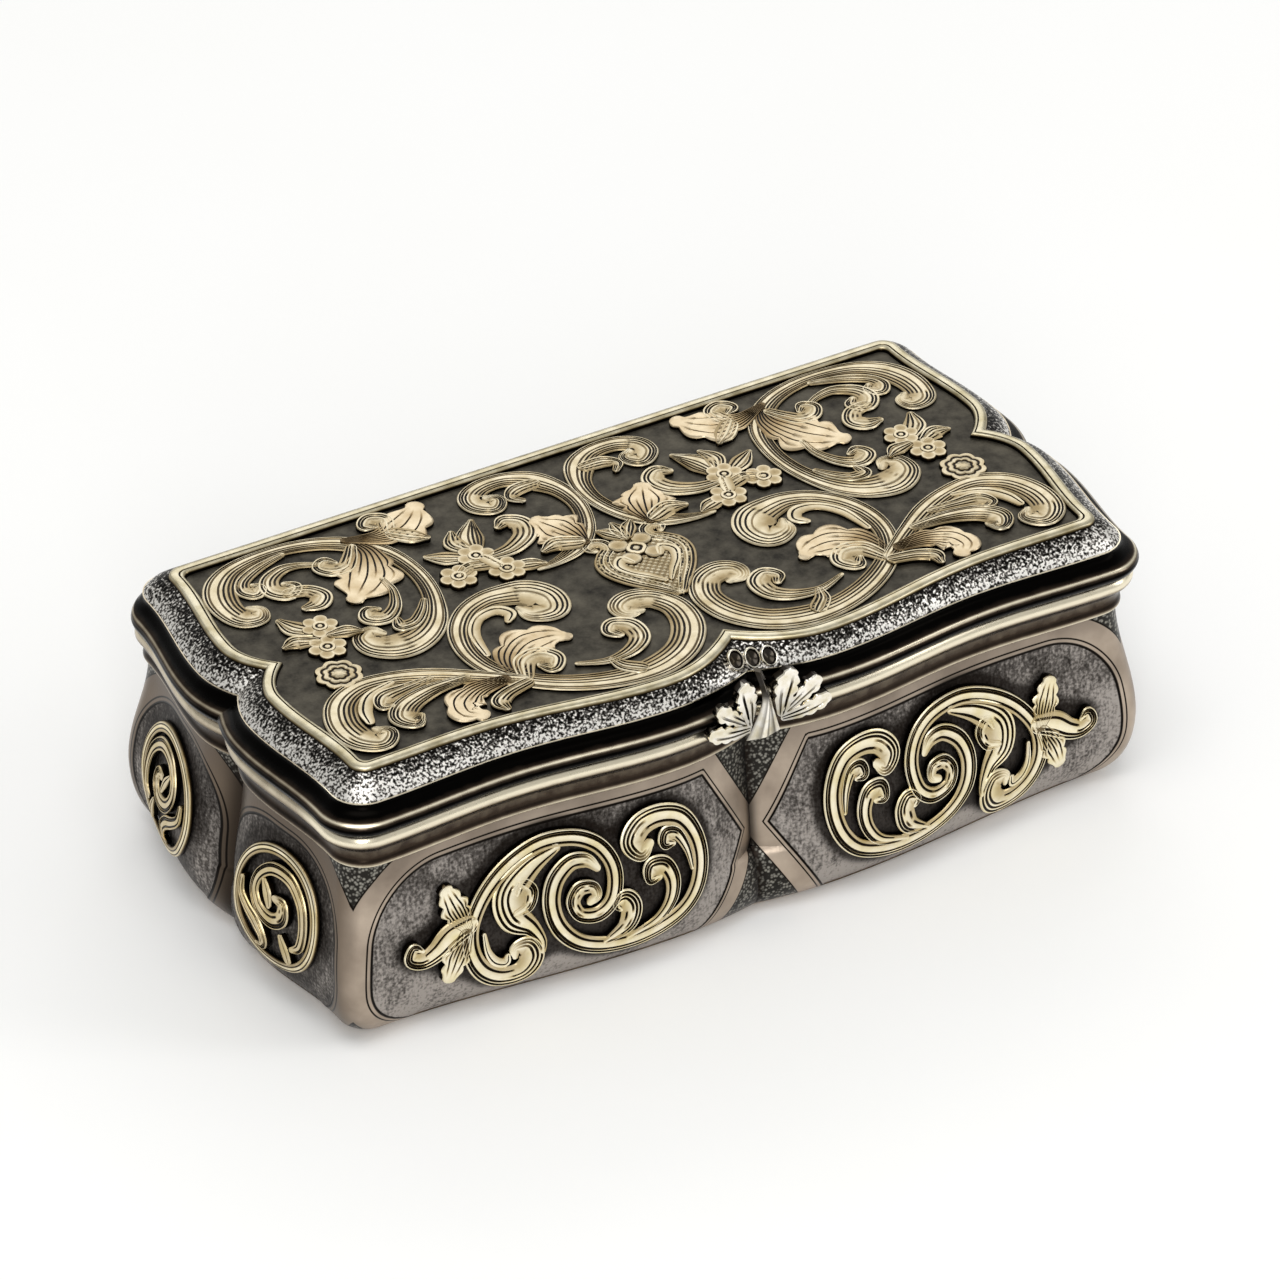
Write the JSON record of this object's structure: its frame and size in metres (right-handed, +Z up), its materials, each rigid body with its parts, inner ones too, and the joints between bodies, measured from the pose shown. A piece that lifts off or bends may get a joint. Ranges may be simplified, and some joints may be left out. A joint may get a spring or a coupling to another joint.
{
  "type": "snuff box",
  "caption": "Hinged snuff box with a swelling bow-fronted silver body, a bevelled lid with applied gilt scrolls and a leaf thumbpiece that lifts the lid.",
  "frame": {"origin": "middle of the underside of the base plate, below the middle of the lid's gilt frame", "axes": "+X along the length to the right of a user at the thumbpiece, -Y to the front, +Z up"},
  "size_m": [0.0932, 0.0495, 0.0291],
  "materials": {
    "wall_silver": "satin silver with engraved panels and a patina",
    "rim_silver": "polished silver moulding with a warm tarnish",
    "dark_silver": "polished silver moulding, dark with tarnish",
    "stippled_silver": "silver punched all over with fine stipple",
    "blackened_ground": "matt blackened silver",
    "applied_gilt": "engraved pale gold",
    "lining_gilt": "smooth gilding",
    "bright_gilt": "polished silver gilt",
    "hinge_steel": "drawn wire"
  },
  "bodies": {
    "box": {"base_plate": "wall_silver", "body_shell": "wall_silver", "body_rim": "rim_silver", "bezel": "lining_gilt", "body_knuckles": "rim_silver", "hinge_pin": "hinge_steel", "front_left_scroll": "applied_gilt", "front_right_scroll": "applied_gilt", "back_left_scroll": "applied_gilt", "back_right_scroll": "applied_gilt", "left_front_medallion": "applied_gilt", "left_back_medallion": "applied_gilt", "right_front_medallion": "applied_gilt", "right_back_medallion": "applied_gilt"},
    "lid": {"lid_rim": "dark_silver", "lid_shell": "stippled_silver", "lid_lining": "lining_gilt", "lid_plaque": "blackened_ground", "lid_frame": "applied_gilt", "lid_knuckles": "rim_silver", "corner_scroll_left": "applied_gilt", "corner_scroll_right": "applied_gilt", "crest_scroll_left": "applied_gilt", "crest_scroll_right": "applied_gilt", "front_scroll_left": "applied_gilt", "front_scroll_right": "applied_gilt", "inner_flowers_left": "applied_gilt", "inner_flowers_right": "applied_gilt", "end_flowers_left": "applied_gilt", "end_flowers_right": "applied_gilt", "centre_cartouche": "applied_gilt", "thumb_keel": "bright_gilt", "thumb_left_leaves": "bright_gilt", "thumb_right_leaves": "bright_gilt"}
  },
  "joints": [
    {"name": "lid_hinge", "type": "hinge", "parent": "box", "child": "lid", "pos_m": [0, 0.0229, 0.02405], "axis": [-1, 0, 0], "range_deg": [0, 100]}
  ]
}
